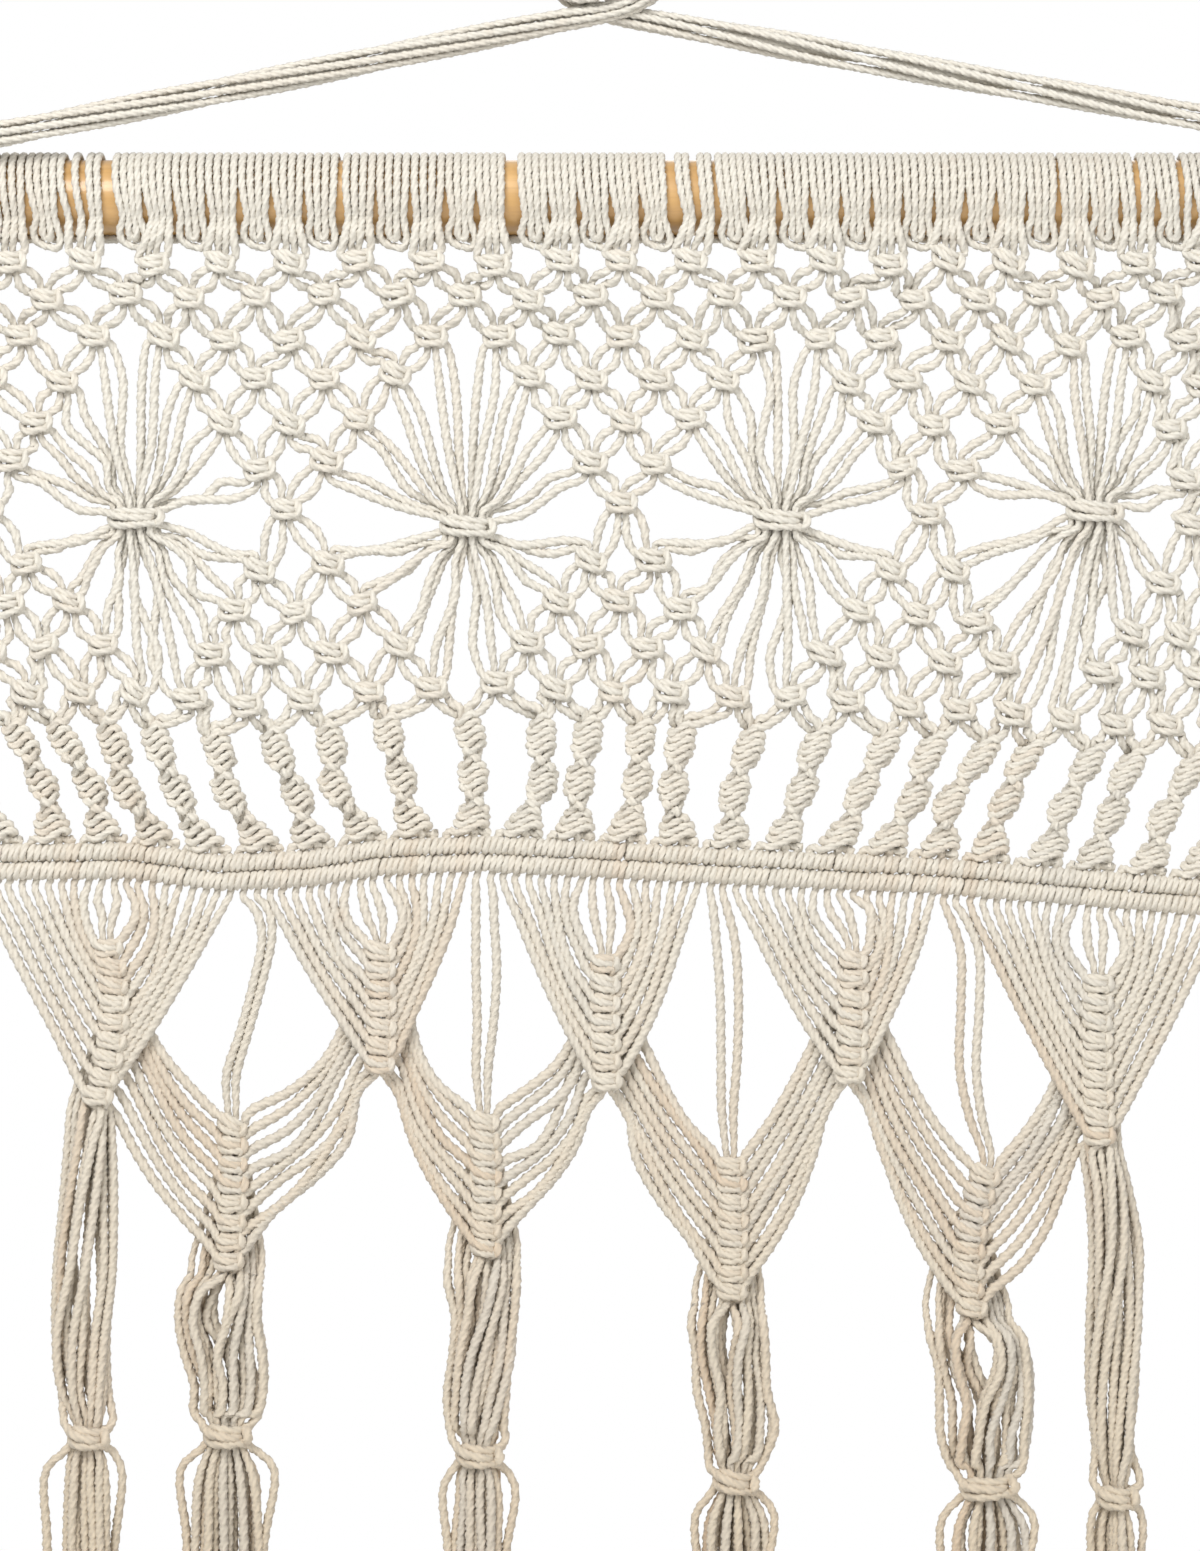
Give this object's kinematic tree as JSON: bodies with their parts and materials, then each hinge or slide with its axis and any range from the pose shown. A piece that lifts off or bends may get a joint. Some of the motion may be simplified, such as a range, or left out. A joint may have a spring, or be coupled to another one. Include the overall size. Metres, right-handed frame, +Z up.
{
  "type": "macrame wall hanging on a wooden rod",
  "caption": "Macrame wall hanging of knotted cotton string: open net with stars in diamonds, spiral sinnets, pointed leaves and tassels, on a wooden rod with a hanging cord.",
  "frame": {"origin": "the point at the inside top of the hanging loop, where a hook or nail carries the piece", "axes": "+Z up, +X to the right along the rod as seen from the front, the front faces -Y"},
  "size_m": [0.6, 0.0444, 0.7303],
  "materials": {
    "cotton": "natural twisted cotton string, matt",
    "wood": "light wood under clear satin lacquer"
  },
  "bodies": {
    "root": {"rod": "wood", "mounting_knots": "cotton", "hanging_cord": "cotton", "net_with_sinnets_and_band": "cotton", "upper_leaf_1": "cotton", "upper_leaf_2": "cotton", "upper_leaf_3": "cotton", "upper_leaf_4": "cotton", "upper_leaf_5": "cotton", "lower_leaf_1": "cotton", "lower_leaf_2": "cotton", "lower_leaf_3": "cotton", "lower_leaf_4": "cotton", "tassel_1": "cotton", "tassel_2": "cotton", "tassel_3": "cotton", "tassel_4": "cotton", "tassel_5": "cotton", "tassel_6": "cotton"}
  },
  "joints": []
}
